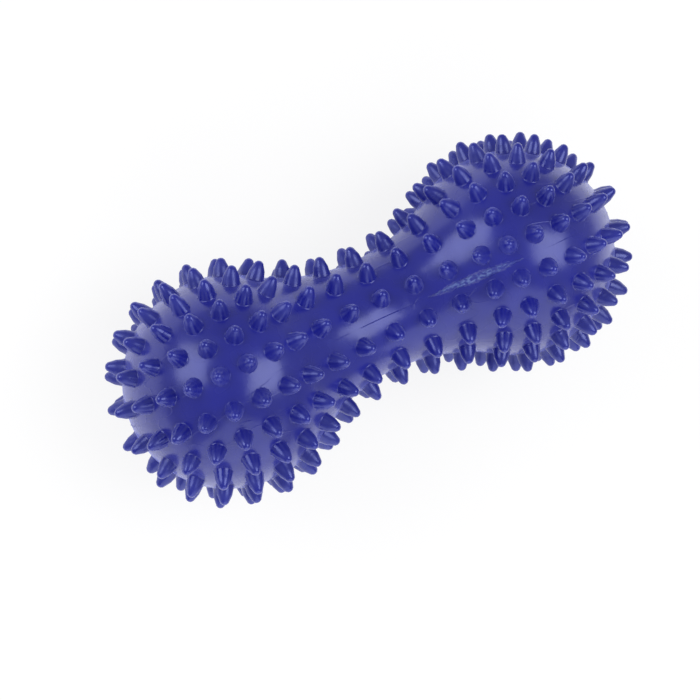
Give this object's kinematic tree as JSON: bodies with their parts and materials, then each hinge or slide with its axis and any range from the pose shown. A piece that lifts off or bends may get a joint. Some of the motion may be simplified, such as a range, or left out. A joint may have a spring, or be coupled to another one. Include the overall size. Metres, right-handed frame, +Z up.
{
  "type": "peanut massage ball",
  "caption": "Peanut-shaped massage ball: two round lobes joined by a waisted neck, covered all over in short rounded spikes.",
  "frame": {"origin": "centre of the overall box, which is the middle of the waist on the long axis", "axes": "+X along the long axis from lobe to lobe, +Z up, with the mould's parting line in the XZ plane"},
  "size_m": [0.1406, 0.0624, 0.0616],
  "materials": {
    "ball": "deep blue soft PVC, satin gloss from a polished mould"
  },
  "bodies": {
    "root": {"massage_ball": "ball"}
  },
  "joints": []
}
